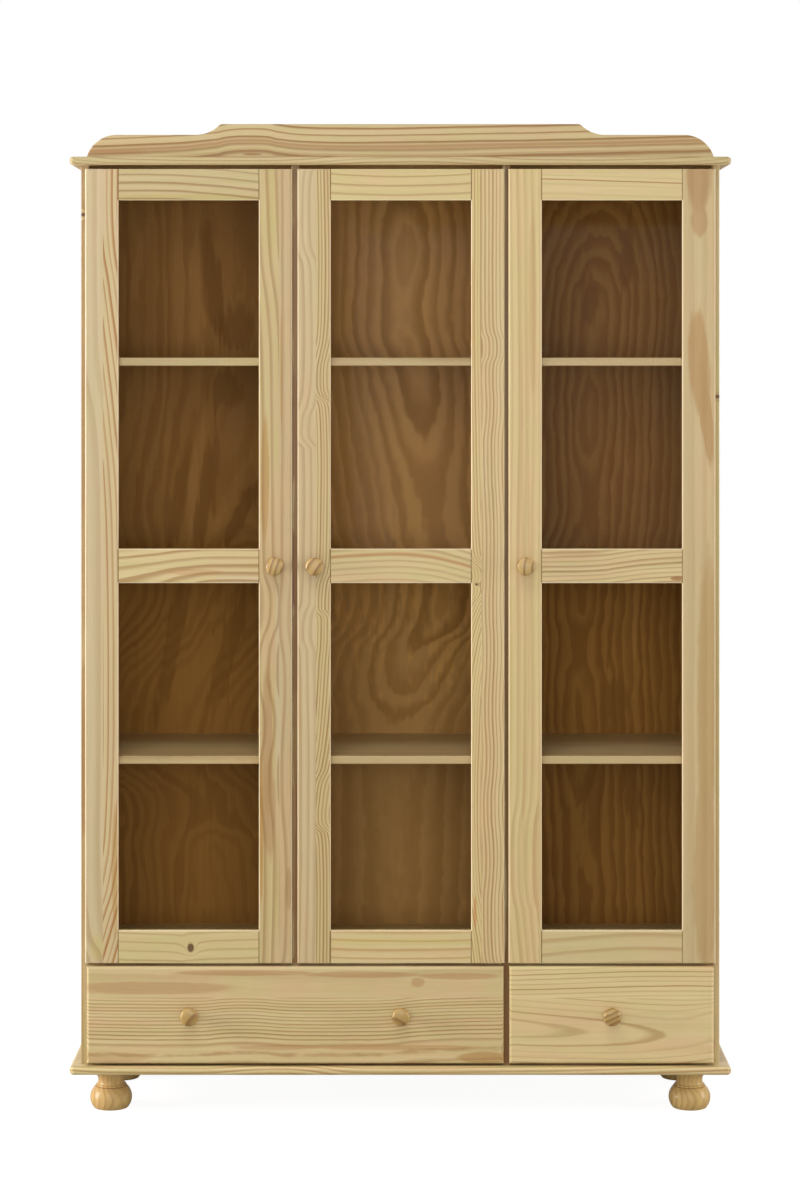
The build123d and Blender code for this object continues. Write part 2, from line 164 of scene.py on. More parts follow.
def bump(paint, along, across, spot):
    # a soft hill of 1 at a spot in mm: (along, across, reach, breadth)
    a, b, reach, breadth = (size * mm for size in spot)
    near = ((along - a) * (1 / reach)) ** 2 + ((across - b) * (1 / breadth)) ** 2
    return paint.sum("EXPONENT", near * -1)


def course(paint, along, points):
    # a smooth line through (along, value) points in mm, in metres
    if isinstance(points, (int, float)):
        return points * mm
    places, values = zip(*points)
    low, high = min(values), max(values)
    if high == low:
        return low * mm
    reach = places[-1] - places[0]
    shape = [((p - places[0]) / reach, (v - low) / (high - low)) for p, v in points]
    share = (along - places[0] * mm) * (1 / (reach * mm))
    made = paint.node("FloatCurve", {"points": shape}, {"Value": share})
    return made * ((high - low) * mm) + low * mm


pineLook = {
    "grain": "x",  # the room's axis along the board
    "flat": "y",  # and the one into its thickness
    "early": (205, 184, 140),  # colours as on a screen, 0 to 255
    "late": (148, 106, 54),
    "pink": (203, 170, 124),
    "green": (191, 177, 114),
    "knot": (92, 60, 34),
    "seam": (112, 80, 38),
    "arrisHighlight": (236, 217, 182),  # painted highlight along lit, eased edges
    "ring": 7.5,  # mm between two rings
    "share": 0.62,  # how much of a ring is darkening late wood
    "edge": 0.10,  # how much of it the late wood takes to end
    "rise": 0.8,  # how slowly it starts, as a share of its width
    "contrast": 0.95,
    "even": 0.5,  # how alike the rings are, 0 to 1
    "heart": 60.0,  # mm across the board from its middle to the tree's heart
    "deep": 60.0,  # mm from its face to the heart
    "sway": 0.0,  # mm that the rings run off across the board
    "wave": 2.5,  # mm that they wander besides
    "waveSize": (260, 40),
    "ripple": 0.5,
    "rippleSize": (34, 9),
    "cloud": 0.5,
    "cloudSize": (350, 50),
    "fibre": 0.10,
    "fibreSize": (50, 1.1),
    "streak": 0.055,
    "streakSize": (400, 10, 30),
    "tone": 1.0,  # how light the board is
    "tints": 0.5,  # how much each ring has a tint of its own
    "staves": (),  # strips glued side by side: (from here across, what differs)
    "swells": (),  # (along, across, reach, breadth, rings more)
    "knots": (),  # (along, across, radius)
    "joints": (),  # along: thin dark lines where another board ends or starts
    "jointEdge": (0.4, 1.3),  # mm from a joint where its line fades
    "jointAmount": 0.75,
    "arrises": (),  # (across, from, to): an eased edge of the face, with a painted highlight
    "arris": 0.6,  # how strong its painted highlight is
    "arrisWidth": 2.0,
    "patches": (),  # (along, across, reach, breadth, colour, amount[, lean])
    "ragged": 0.0,  # how rough the edges of patches are
    "skin": None,  # mm that patches go deep, or None for all through
    "bands": (),  # along the rings: (across, half width, colour, amount)
    "seed": 1,
    "roughness": 0.38,
    "shine": 0.25,
    "relief": 0.25,
    "reliefDepth": 0.3,
}
figure = {  # what the figure of all boards shares
    "seedRings": 100,  # rings from one seed's log to the next
    "lateWidth": (0.55, 0.6),  # least width of late wood and what chance adds, as shares
    "chanceSteps": (1.0, 0.37),  # steps of a ring's two chances
    "knotFlat": 0.75,  # how much broader a knot is than long
    "knotPush": (0.6, 3.0),  # how softly, and by how many rings, it pushes the rings aside
    "knotRim": (1.2, 0.8),  # its radii where the brown starts and is full
    "knotAmount": 0.9,
    "tintSteps": (9, 3.7, 6),  # how fast the tint changes along, from ring to ring and across
    "bandEdge": (0.2, 0.9),
    "patchEdge": (0.35, 0.62),
    "patchRough": (0.2, 0.1),  # how much streaks and ripples roughen every patch
}


def ringField(paint, parts, middle, face, look, seed):
    # how many rings a point is from the heart, and its way across from the heart
    along, across, deep = parts
    wander = noise(paint, parts, look["waveSize"], seed, 1.5) * (look["wave"] * mm)
    run = course(paint, along, look["sway"])
    side = across - (middle + look["heart"] * mm) - run + wander
    depth = deep - face - course(paint, along, look["deep"])
    far = paint.sum("SQRT", side * side + depth * depth)
    return far * (1 / (look["ring"] * mm)) + figure["seedRings"] * seed, side + look["heart"] * mm


def lateWood(paint, rings, look, contrast):
    # the year of each ring, and how dark its late wood is
    year = paint.sum("FLOOR", rings)
    inYear = rings - year
    chance, other = (
        paint.node("TexWhiteNoise", {"noise_dimensions": "1D"}, {"W": year * step + look["seed"]})
        for step in figure["chanceSteps"]
    )
    least, more = figure["lateWidth"]
    width = other * (more * look["share"]) + least * look["share"]
    start = 1 - look["edge"] - width
    late = inYear.ease(start, start + width * look["rise"])
    late = late * inYear.ease(1 - look["edge"], 1.0, 1.0, 0.0)
    return year, late * (chance * (1 - look["even"]) + look["even"]) * contrast


def pine(name, box, look):
    look = {**pineLook, **look}
    grain, flat, seed = look["grain"], look["flat"], look["seed"]
    order = "xyz"
    cross = next(axis for axis in "xzy" if axis not in (grain, flat))
    low, high = box
    centre, face = ((low + high) / 2)[order.index(cross)], low[order.index(flat)]
    material, paint = newPaint(name)
    axes = dict(zip(order, roomAxes(paint)))
    parts = along, across, deep = axes[grain], axes[cross], axes[flat]

    rings, side = ringField(paint, parts, centre, face, look, seed)
    contrast = look["contrast"]
    tints = {tint: shade(*look[tint]) for tint in ("early", "late", "pink", "green")}
    for index, (start, change) in enumerate(look["staves"]):
        strip = {**look, **change}
        others, sideThere = ringField(paint, parts, centre, face, strip, seed + index + 1)
        here = paint.sum("GREATER_THAN", across, start * mm)
        rings = rings + here * (others - rings)
        side = side + here * (sideThere - side)
        contrast = here * (strip["contrast"] - contrast) + contrast
        tints = {tint: here.blend(shown, shade(*strip[tint])) for tint, shown in tints.items()}
    ripple = noise(paint, parts, look["rippleSize"], seed + 3)
    rings = rings + ripple * (look["ripple"] / look["ring"])
    for *spot, count in look["swells"]:
        rings = rings + bump(paint, along, across, spot) * count
    cores = []
    soft, push = figure["knotPush"]
    for a, b, radius in look["knots"]:
        aside = (across - b * mm) * figure["knotFlat"]
        far = ((along - a * mm) ** 2 + aside ** 2) ** 0.5 * (1 / (radius * mm))
        rings = rings + (far * far + soft) ** -1 * push
        cores.append(far.ease(*figure["knotRim"]) * figure["knotAmount"])
    year, late = lateWood(paint, rings, look, contrast)

    fibre = noise(paint, parts, look["fibreSize"], seed + 9, 2.0, 0.6)
    streak = noise(paint, parts, look["streakSize"], seed + 5, 2.0)
    cloud = noise(paint, parts, look["cloudSize"], seed + 11)
    spots = [part * step for part, step in zip((along, year, across), figure["tintSteps"])]
    ringSpot = paint.node("CombineXYZ", None, dict(enumerate(spots)))
    ownTint = paint.node("TexNoise", None, {"Vector": ringSpot, "Scale": 1.0, "Detail": 1.0})
    warmth = cloud * 0.9 + (ownTint - 0.5) * (4 * look["tints"])
    colour = warmth.ease(-0.7, 0.7).blend(tints["pink"], tints["green"])
    colour = (streak * 0.5 + cloud * 0.3 + 1 - look["cloud"]).blend(colour, tints["early"])
    for b, width, tint, amount in look["bands"]:
        there = paint.sum("EXPONENT", ((side - b * mm) * (1 / (width * mm))) ** 2 * -1)
        there = (there + streak * 0.15).ease(*figure["bandEdge"]) * amount
        colour = there.blend(colour, shade(*tint))
    byStreak, byRipple = (share + look["ragged"] for share in figure["patchRough"])
    for a, b, reach, breadth, tint, amount, *lean in look["patches"]:
        leaning = across - (along - a * mm) * lean[0] if lean else across
        there = bump(paint, along, leaning, (a, b, reach, breadth))
        there = (there + (streak * byStreak + ripple * byRipple)).ease(*figure["patchEdge"]) * amount
        if look["skin"]:
            there = there * paint.sum("LESS_THAN", deep, face + look["skin"] * mm)
        colour = there.blend(colour, shade(*tint))
    colour = late.blend(colour, tints["late"])
    near, far = (edge * mm for edge in look["jointEdge"])
    for a in look["joints"]:
        line = paint.sum("ABSOLUTE", along - a * mm).ease(near, far, look["jointAmount"], 0.0)
        colour = line.blend(colour, shade(*look["seam"]))
    for core in cores:
        colour = core.blend(colour, shade(*look["knot"]))
    # painted highlights: pale lines along eased edges, where the light catches their roundings
    width = look["arrisWidth"] * mm
    for a, start, end in look["arrises"]:
        line = paint.sum("ABSOLUTE", across - a * mm)
        line = line.ease(width * 0.5, width * 1.2, look["arris"], 0.0)
        line = line * (deep - face).ease(width, width * 2, 1.0, 0.0)
        line = line * paint.sum("GREATER_THAN", along, start * mm)
        line = line * paint.sum("LESS_THAN", along, end * mm)
        colour = line.blend(colour, shade(*look["arrisHighlight"]))
    level = fibre * look["fibre"] + streak * look["streak"] + look["tone"]
    grey = paint.node("CombineColor", None, {0: level, 1: level, 2: level})
    settings = {"data_type": "RGBA", "blend_type": "MULTIPLY"}
    colour = paint.node("Mix", settings, {0: 1.0, 6: colour, 7: grey}, 2)
    roughness = look["roughness"] + fibre * 0.05 - late * 0.06
    finishWood(paint, look, colour, roughness, late * 0.5 + fibre * 0.35)
    return material


def addToScene(name, data):
    made = bpy.data.objects.new(name, data)
    bpy.context.scene.collection.objects.link(made)
    return made


def dress(name, material):
    mesh = nodes[name].data
    if not mesh.materials:
        mesh.materials.append(material)
    for index in range(len(mesh.materials)):
        mesh.materials[index] = material


brown = (178, 141, 96)
orange = (181, 141, 77)
pinkish = (189, 155, 112)
yellow = (194, 176, 112)
pale = (199, 179, 140)

# Boards of the front: along the grain and across the board in mm of the room
frontBoards = {
    "pediment": {
        "seed": 21, "heart": -62, "deep": 22, "ring": 13, "contrast": 0.95, "even": 0.4, "tone": 0.9,
        "share": 0.5, "sway": [(-640, -10), (-447, -3), (-361, 4), (-282, 12), (-241, 7), (-138, 0), (0, 0),
            (205, 3), (411, 8), (640, 14)],
        "bands": [(-11.5, 4.5, (166, 122, 74), 0.75), (-29, 3.5, (176, 136, 85), 0.4)],
        "patches": [(-289, 1873, 24, 2.6, (159, 117, 68), 0.9), (-560, 1878, 70, 5, (178, 134, 88), 0.7)],
    },
    "top_board": {  # its patch is painted light: a paler underside, to lift the shade in the gap over the doors
        "seed": 22, "heart": -70, "deep": 30, "ring": 7, "contrast": 0.6, "tone": 0.88,
        "sway": [(-645, 10), (-300, -8), (0, 6), (300, -6), (645, 12)],
        "patches": [(0, 1851.4, 3000, 1.4, (236, 208, 158), 1.0)],
    },
    "base_board": {
        "seed": 23, "heart": 60, "deep": 30, "ring": 8, "contrast": 0.7, "tone": 1.06,
        "sway": [(-645, 6), (-400, 0), (-240, 8), (-60, -8), (150, -6), (400, -2), (645, 6)],
    },
    "left_door_left_stile": {
        "grain": "z", "seed": 1, "heart": -260, "deep": 60, "ring": 26, "contrast": 0.35, "tone": 0.95,
        "early": (199, 179, 142), "green": (192, 176, 130), "pink": (201, 174, 138), "sway": [(295, 70),
            (320, 60), (367, 40), (480, 33), (700, 34), (1060, 34), (1290, 30), (1530, 0), (1844, 0)],
        "staves": [(-579.8, {"heart": -90, "deep": 20, "ring": 10.5, "contrast": 0.9, "late": (160, 108, 50),
            "early": (201, 180, 136), "green": (195, 176, 125), "sway": [(295, -64), (373, -42), (480, -14),
            (560, -4), (661, 0), (820, 2), (1060, 0), (1200, -4), (1350, -17), (1486, -33), (1620, -50),
            (1741, -63), (1844, -65)]})],
        "patches": [(480, -556, 150, 8, orange, 0.6), (325, -592, 30, 14, yellow, 0.6)],
    },
    "left_door_right_stile": {
        "grain": "z", "seed": 2, "heart": 120, "deep": 40, "ring": 17, "contrast": 0.6, "share": 0.7,
        "tone": 0.88, "green": (191, 172, 109), "cloud": 0.7, "sway": [(295, 0), (520, 4), (661, -6),
            (760, 4), (860, -8), (935, 2), (1000, 14), (1061, 2), (1440, -2), (1560, -8), (1680, -22),
            (1844, -30)],
        "staves": [(-236.3, {"heart": 90, "ring": 15, "contrast": 0.5, "early": (200, 176, 136),
            "green": (195, 172, 127), "sway": [(295, 0), (450, 8), (661, 0), (850, 6), (970, -4), (1061, 0),
            (1844, 0)]})],
        "patches": [(1236, -264, 135, 9, orange, 0.75), (731, -259, 170, 12, brown, 0.75),
            (600, -257, 110, 16, brown, 0.7), (560, -271, 170, 4, (183, 139, 70), 0.8),
            (840, -238, 240, 8, pale, 0.8), (441, -217, 48, 7, brown, 0.7),
            (1760, -252, 120, 9, yellow, 0.6), (1450, -232, 140, 3, orange, 0.6)],
    },
    "left_door_top_rail": {
        "seed": 3, "heart": -160, "deep": 30, "ring": 15.3, "contrast": 0.7, "even": 0.6, "tone": 0.85,
        "share": 0.35, "sway": [(-570, 0), (-470, 1), (-390, -3), (-256, -16)],
        "patches": [(-420, 1788, 220, 8, yellow, 0.8)],
    },
    "left_door_middle_rail": {
        "seed": 4, "heart": -55, "ring": 15, "contrast": 0.7, "even": 0.6, "share": 0.6,
        "deep": [(-570, 54), (-488, 42), (-420, 24), (-329, 5), (-256, 10)],
        "patches": [(-400, 1058, 60, 7, (185, 145, 96), 0.6), (-310, 1044, 60, 8, pale, 0.7)],
    },
    "left_door_bottom_rail": {
        "seed": 5, "heart": -170, "deep": 30, "ring": 17, "contrast": 0.45, "even": 0.7, "share": 0.35,
        "knots": [(-408.8, 325.3, 6.4)], "early": (198, 180, 134),
        "sway": [(-570, 0), (-430, -4), (-408, 2), (-380, 0), (-256, 3)],
    },
    "middle_door_left_stile": {
        "grain": "z", "seed": 6, "heart": -120, "deep": 30, "ring": 14, "contrast": 0.4, "tone": 0.93,
        "early": (199, 179, 140), "green": (195, 174, 129), "sway": [(295, 0), (600, 4), (900, 2), (940, -6),
            (1000, 6), (1200, 10), (1300, 8), (1330, -10), (1380, 0), (1500, 10), (1640, 8), (1680, -2),
            (1740, -8), (1844, 0)],
        "staves": [(-164.5, {"heart": 90, "ring": 6.0, "contrast": 0.85, "early": (199, 180, 131),
            "green": (194, 176, 116), "sway": [(295, -2), (500, -2), (550, -6), (577, -24), (607, -22),
            (640, -18), (680, -4), (790, 10), (880, 16), (968, 20), (986, 2), (1025, 4), (1061, 14),
            (1100, 18), (1340, 18), (1386, 14), (1405, -10), (1431, -14), (1480, -8), (1560, 2),
            (1844, 0)]})],
    },
    "middle_door_right_stile": {
        "grain": "z", "seed": 7, "heart": -100, "deep": 20, "ring": 5.6, "contrast": 0.75, "tone": 1.04,
        "early": (199, 180, 129), "green": (196, 176, 112), "sway": [(295, 0), (340, -6), (400, -16),
            (450, -24), (540, -28), (661, -28), (790, -24), (850, -18), (900, -10), (950, 2), (1000, 22),
            (1040, 38), (1070, 30), (1100, 10), (1400, 2), (1844, 0)],
        "knots": [(1034, 149, 2.6)],
        "patches": [(394, 146, 34, 3, (189, 134, 83), 0.8), (1560, 141, 130, 3, orange, 0.6)],
        "staves": [(158, {"heart": 150, "ring": 7.2, "contrast": 0.85, "early": (199, 179, 135),
            "green": (194, 172, 121), "sway": [(295, 4), (400, -3), (500, 2), (600, -2), (700, 3), (800, 0),
            (900, 3), (1000, 0), (1100, 2), (1200, 0), (1300, -3), (1380, 2), (1440, 0), (1470, 3),
            (1495, 8), (1520, 4), (1560, 0), (1844, 0)]})],
    },
    "middle_door_top_rail": {
        "seed": 8, "heart": -140, "deep": 30, "ring": 18, "contrast": 0.75, "even": 0.5, "share": 0.3,
        "sway": [(-156, 8), (-60, 1), (0, 0), (60, 1), (158, 7)], "early": (198, 179, 131),
    },
    "middle_door_middle_rail": {
        "seed": 9, "heart": -110, "deep": 20, "ring": 12.5, "contrast": 0.55, "even": 0.4,
        "sway": [(-156, -8), (-80, -2), (-5, 0), (50, -4), (100, -14), (158, -32)],
        "bands": [(24, 5, (187, 143, 90), 0.75)],
    },
    "middle_door_bottom_rail": {
        "seed": 10, "heart": -150, "deep": 30, "ring": 17, "contrast": 0.7, "even": 0.6, "share": 0.4,
        "late": (174, 132, 70), "sway": [(-156, 3), (0, -3), (158, 3)],
        "patches": [(0, 337, 220, 8, yellow, 0.6)],
    },
    "right_door_left_stile": {
        "grain": "z", "seed": 11, "heart": 70, "deep": 40, "ring": 12, "contrast": 0.4, "share": 0.7,
        "tone": 1.03, "early": (199, 180, 131), "green": (194, 175, 116), "cloud": 0.6,
        "sway": [(295, 6), (400, -4), (480, -12), (560, -10), (661, 0), (1061, 0), (1400, 3), (1844, 0)],
        "staves": [(269.4, {"heart": 120, "ring": 3.4, "contrast": 0.5})],
        "patches": [(1590, 258, 210, 8, (183, 151, 101), 0.6), (1000, 251, 330, 3, pinkish, 0.6),
            (1281, 238, 300, 3, pinkish, 0.6), (600, 240, 200, 3, pinkish, 0.5)],
    },
    "right_door_right_stile": {
        "grain": "z", "seed": 12, "heart": -70, "deep": 50, "ring": 20, "contrast": 0.22, "share": 0.7,
        "tone": 0.96, "early": (197, 176, 134), "green": (193, 172, 123), "ripple": 0.8,
        "patches": [(1832, 582, 88, 28, (174, 140, 96), 0.95), (1742, 584, 34, 20, (178, 143, 98), 0.8),
            (1462, 584, 120, 24, (178, 143, 93), 0.9, -0.06),
            (1365, 597, 120, 14, (176, 141, 91), 0.9, -0.1), (820, 599, 330, 24, (180, 150, 99), 0.85),
            (460, 594, 230, 27, (181, 151, 103), 0.85)],
    },
    "right_door_top_rail": {
        "seed": 13, "heart": -150, "deep": 30, "ring": 17, "contrast": 0.16, "even": 0.4, "share": 0.3,
        "sway": [(255, 4.5), (570, -4.5)], "bands": [(6.5, 1.5, (160, 118, 68), 0.9)],
    },
    "right_door_middle_rail": {
        "seed": 14, "heart": -90, "deep": 20, "ring": 9, "contrast": 0.75, "even": 0.5,
        "sway": [(255, -7), (380, -4), (430, 2), (480, 8), (570, 13)],
        "patches": [(540, 1046, 16, 5, (154, 111, 63), 0.9), (340, 1094, 70, 8, pinkish, 0.7)],
    },
    "right_door_bottom_rail": {
        "seed": 15, "heart": -150, "deep": 50, "ring": 26, "contrast": 0.35, "share": 0.5,
        "sway": [(255, -12), (375, -1), (470, 4), (570, 0)], "early": (196, 176, 134),
    },
    "wide_drawer_front": {
        "seed": 16, "heart": -76, "deep": 35, "ring": 5.9, "contrast": 0.68, "even": 0.6, "share": 0.6,
        "sway": [(-620, 0), (-485, -2), (-388, -1), (-316, 3), (-200, -2), (-50, -1), (25, 5), (110, 9),
            (210, 11)],
        "staves": [(228, {"heart": 30, "deep": 60, "ring": 20, "contrast": 0.2, "early": (198, 176, 135)})],
        "patches": [(-490, 247, 200, 14, (179, 145, 101), 0.8), (-310, 276, 150, 6, brown, 0.8),
            (-70, 273, 130, 7, brown, 0.75), (34, 257, 16, 11, brown, 0.7), (115, 270, 90, 7, brown, 0.75),
            (-560, 112, 80, 12, (183, 149, 103), 0.6), (-240, 131, 90, 6, brown, 0.6),
            (0, 131, 200, 6, (181, 143, 92), 0.7), (165, 112, 60, 13, (176, 139, 86), 0.85)],
    },
    "narrow_drawer_front": {
        "seed": 17, "heart": -32, "ring": 8.6, "contrast": 0.52, "even": 0.3, "share": 0.32, "tone": 1.08,
        "sway": [(205, 8), (370, -1), (514, -6), (620, 0)],
        "deep": [(205, 38), (370, 43), (514, 51), (620, 58)], "swells": [(640, 198, 70, 22, -1.6)],
        "staves": [(227, {"heart": -150, "deep": 20, "ring": 9.3, "contrast": 0.85, "sway": [(205, -3),
            (330, 0), (410, 3), (500, 5), (620, 4)]})],
    },
}

glued = {
    "stops": (0, 0.2, 0.45, 0.7, 1),  # places of a strip's course, as shares of its length
    "flatSawn": 0.5,  # the share of strips with the heart in their middle
    "nearHeart": 12, "farHeart": (50, 110),  # how far the heart is from a strip's middle
    "nearDeep": (4, 46), "farDeep": (30, 50),
    "sway": 9, "ring": (6, 15), "contrast": (0.45, 0.85),
    "early": ((198, 206), (178, 185), (130, 142)),
}


def gluedStaves(first, width, count, seed, reach):
    # the strips of a wide glued panel, each cut from another place of a log
    pick = random.Random(seed)
    low, high = reach
    stops = [low + (high - low) * share for share in glued["stops"]]
    strips = []
    for index in range(count):
        start = first + width * index
        if pick.random() < glued["flatSawn"]:
            off, depths = pick.uniform(-glued["nearHeart"], glued["nearHeart"]), glued["nearDeep"]
        else:
            off, depths = pick.choice((-1, 1)) * pick.uniform(*glued["farHeart"]), glued["farDeep"]
        strips.append((start, {
            "heart": start + width / 2 + off,
            "deep": [(stop, pick.uniform(*depths)) for stop in stops],
            "sway": [(stop, pick.uniform(-glued["sway"], glued["sway"])) for stop in stops],
            "ring": pick.uniform(*glued["ring"]),
            "contrast": pick.uniform(*glued["contrast"]),
            "early": tuple(pick.randint(*span) for span in glued["early"]),
        }))
    return strips


shadeBrown = (150, 104, 70)
insideBoards = {
    "side_panel_left": {
        "grain": "z", "flat": "x", "seed": 31, "heart": 0, "knots": [(1756, -151, 3.5)], "tone": 0.84,
        "patches": [(1300, -152, 420, 3, (172, 132, 88), 0.5), (700, -152, 200, 3, brown, 0.6)],
        "staves": gluedStaves(-132, 58, 6, 131, (78, 1852)),
    },
    "side_panel_right": {
        "grain": "z", "flat": "x", "seed": 32, "heart": 40, "deep": -60, "knots": [(1400, -151, 3.2)],
        "tone": 0.9, "patches": [(1000, -152, 700, 3, yellow, 0.5)],
        "staves": gluedStaves(-136, 62, 6, 135, (78, 1852)),
    },
    "centre_partition": {
        "grain": "z", "flat": "x", "seed": 33, "heart": 0, "tone": 1.1,
        "staves": gluedStaves(-130, 60, 5, 137, (78, 1852)),
        "patches": [(1640, -151, 110, 5, shadeBrown, 0.6), (1340, -151, 130, 5, shadeBrown, 0.8),
            (1060, -151, 90, 5, (140, 88, 62), 0.9), (900, -151, 90, 5, shadeBrown, 0.7),
            (520, -151, 160, 5, (166, 124, 80), 0.8)],
    },
    "divider_panel": {
        "grain": "z", "flat": "x", "seed": 34, "heart": 0,
        "staves": gluedStaves(-134, 64, 5, 139, (78, 1852)),
        # its front-edge patches are partly the edge's own olive tone, partly painted shade of the narrow
        # gaps between the doors and between the drawers
        "patches": [(1200, -151, 800, 5, (150, 120, 54), 0.8), (180, -151, 150, 6, (140, 100, 78), 0.9)],
    },
    "drawer_runners": {"grain": "y", "flat": "x", "seed": 38, "heart": 0},
}
for name, seed, first, reach in (
    ("floor_board_wide", 35, -130, (-600, 200)),
    ("floor_board_narrow", 36, -135, (200, 600)),
    ("fixed_shelves", 37, -128, (-600, 600)),
):
    strips = gluedStaves(first, 60, 5, 2 * seed + 71, reach)
    insideBoards[name] = {"flat": "z", "seed": seed, "heart": 0, "staves": strips}
shelfLook = {
    "flat": "z", "heart": 20, "deep": -25, "ring": 9,
    "early": (200, 172, 127), "green": (194, 170, 118), "pink": (198, 162, 118),
}
for place in bays:
    for level, tone in (("lower", 1.07), ("upper", 1.0)):
        seed = 40 + len(insideBoards)
        strips = gluedStaves(-95, 60, 4, seed + 110, (-600, 600))
        look = {**shelfLook, "seed": seed, "tone": tone, "staves": strips}
        insideBoards[f"shelf_{place}_{level}"] = look
    insideBoards[f"{place}_door_glazing_beads"] = {
        "grain": "z", "seed": 60 + len(insideBoards), "heart": 30, "contrast": 0.4
    }
for drawer in ("wide", "narrow"):
    insideBoards[f"{drawer}_drawer_sides"] = {
        "grain": "y", "flat": "x", "seed": 80 + len(insideBoards), "heart": 30
    }
    insideBoards[f"{drawer}_drawer_back"] = {"seed": 80 + len(insideBoards), "heart": 30}

# joint lines where rails meet stiles, and painted highlights along the eased edges of rails and stiles
for place in bays:
    leftStile, rightStile, bottomRail, middleRail, topRail = (
        nodeBox(f"{place}_door_{part}")
        for part in ("left_stile", "right_stile", "bottom_rail", "middle_rail", "top_rail")
    )
    shoulders = (leftStile[1].x, rightStile[0].x)
    railEdges = {
        "bottom": (bottomRail[1].z,),
        "middle": (middleRail[0].z, middleRail[1].z),
        "top": (topRail[0].z,),
    }
    for level, edges in railEdges.items():
        rail = frontBoards[f"{place}_door_{level}_rail"]
        rail["joints"] = shoulders
        rail["arrises"] = [(edge, *shoulders) for edge in edges]
    openings = ((bottomRail[1].z, middleRail[0].z), (middleRail[1].z, topRail[0].z))
    stileEdges = {"left": (leftStile[0].x, leftStile[1].x), "right": (rightStile[1].x, rightStile[0].x)}
    for side, (outer, inner) in stileEdges.items():
        frontBoards[f"{place}_door_{side}_stile"]["arrises"] = [
            (outer, leftStile[0].z, leftStile[1].z),
            *((inner, *opening) for opening in openings),
        ]

for name, look in {**frontBoards, **insideBoards}.items():
    dress(name, pine(name + ".pine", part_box(name), look))

plyLook = {
    "early": (213, 162, 93), "green": (204, 155, 84), "pink": (204, 149, 86), "late": (143, 97, 43),
    "grain": "z", "heart": 0, "ring": 27, "share": 0.9, "edge": 0.13, "contrast": 0.85, "even": 0.35,
    "wave": 9.0, "waveSize": (130, 60), "ripple": 4.0, "rippleSize": (34, 16),
    "cloudSize": (500, 120), "tints": 0.3, "ragged": 0.35, "skin": 2.0, "fibre": 0.06,
    "roughness": 0.6, "shine": 0.05,
}
darkPly = {
    "early": (170, 121, 59), "green": (160, 114, 53), "pink": (164, 113, 55), "late": (133, 87, 35),
}
plyPale = (182, 132, 72)
plyDark = (118, 76, 28)
backPanels = {
    "back_panel_left": {
        **darkPly, "seed": 101, "ring": 24, "share": 0.7, "edge": 0.10, "rise": 0.5, "contrast": 0.5,
        "wave": 24, "waveSize": (190, 48), "ripple": 7.0, "rippleSize": (75, 14), "deep": [(94, 70),
            (400, 8), (484, 45), (560, 80), (680, 60), (900, 50), (1036, 60), (1180, 130), (1852, 140)],
        "sway": [(94, 40), (400, 40), (560, 20), (690, -70), (1036, 110), (1180, 60), (1300, 70), (1468, 90),
            (1852, 86)],
        "patches": [(1672, -542, 120, 13, plyPale, 0.5, 0.24), (1616, -446, 200, 38, plyPale, 0.4),
            (1629, -388, 150, 22, plyDark, 0.6, -0.15), (1541, -342, 50, 46, plyDark, 0.5),
            (1410, -362, 46, 44, plyDark, 0.5), (1318, -350, 66, 34, plyPale, 0.55, 0.3),
            (1190, -458, 150, 18, plyDark, 0.5, 0.12), (1210, -430, 170, 14, plyPale, 0.45, 0.12),
            (1200, -402, 130, 22, plyDark, 0.55, 0.14), (1205, -344, 84, 13, plyPale, 0.5, 0.45),
            (1150, -333, 84, 20, plyDark, 0.6, 0.5), (1300, -520, 170, 40, plyPale, 0.25),
            (900, -470, 190, 20, plyDark, 0.4, 0.2), (860, -360, 170, 22, plyDark, 0.4, 0.3)],
        "swells": [(392, -362, 130, 62, 1.2)],
    },
    "back_panel_middle": {
        "seed": 102, "contrast": 0.64, "edge": 0.18, "ripple": 6.0, "rippleSize": (30, 15),
        "deep": [(94, 120), (680, 110), (785, 75), (880, 48), (980, 21), (1050, 60), (1109, 75), (1317, 50),
            (1444, 26), (1500, 22), (1560, 28), (1620, 24), (1688, 9), (1733, 20), (1852, 60)],
        "sway": [(94, -20), (680, -10), (785, 5), (880, 36), (980, 90), (1050, 90), (1109, 72), (1317, 50),
            (1444, 35), (1500, 14), (1560, 4), (1688, 10), (1852, 5)],
        "patches": [(480, 5, 560, 300, (180, 138, 84), 0.7)],
    },
    "back_panel_right": {
        **darkPly, "seed": 103, "ring": 19, "contrast": 0.85, "even": 0.6, "wave": 9,
        "waveSize": (150, 36), "ripple": 6.0, "rippleSize": (50, 13), "deep": [(94, 70), (359, 34),
            (500, 40), (690, 14), (800, 20), (885, 34), (960, 14), (1036, 12), (1180, 32), (1262, 19),
            (1300, 9), (1355, 0), (1410, 9), (1448, 19), (1500, 22), (1560, 20), (1635, 38), (1710, 66),
            (1852, 124)],
        "sway": [(94, 0), (701, -38), (1036, -38), (1180, -19), (1434, -19), (1500, -12), (1852, 4)],
        "patches": [(1600, 392, 60, 20, plyDark, 0.5), (1690, 470, 90, 14, plyDark, 0.6, 0.05),
            (930, 486, 120, 10, plyPale, 0.5, 0.05), (760, 450, 80, 26, plyDark, 0.5),
            (560, 400, 120, 22, plyDark, 0.4), (600, 480, 150, 20, plyDark, 0.5, -0.05)],
    },
    "wide_drawer_bottom": {"grain": "x", "flat": "z", "seed": 104, "deep": 60},
    "narrow_drawer_bottom": {"grain": "x", "flat": "z", "seed": 105, "heart": 20, "deep": 60},
}
for name, look in backPanels.items():
    dress(name, pine(name + ".plywood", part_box(name), {**plyLook, **look}))
print("cabinet: boards dressed")


metals = {
    "hinge.nickel": {"tint": (205, 203, 198), "roughness": 0.22},
    "support.zinc": {"tint": (190, 190, 188), "roughness": 0.34},
}
metalWear = {"worn": (150, 150, 148), "grain": (900.0, 3.0), "smear": (45.0, 2.0)}


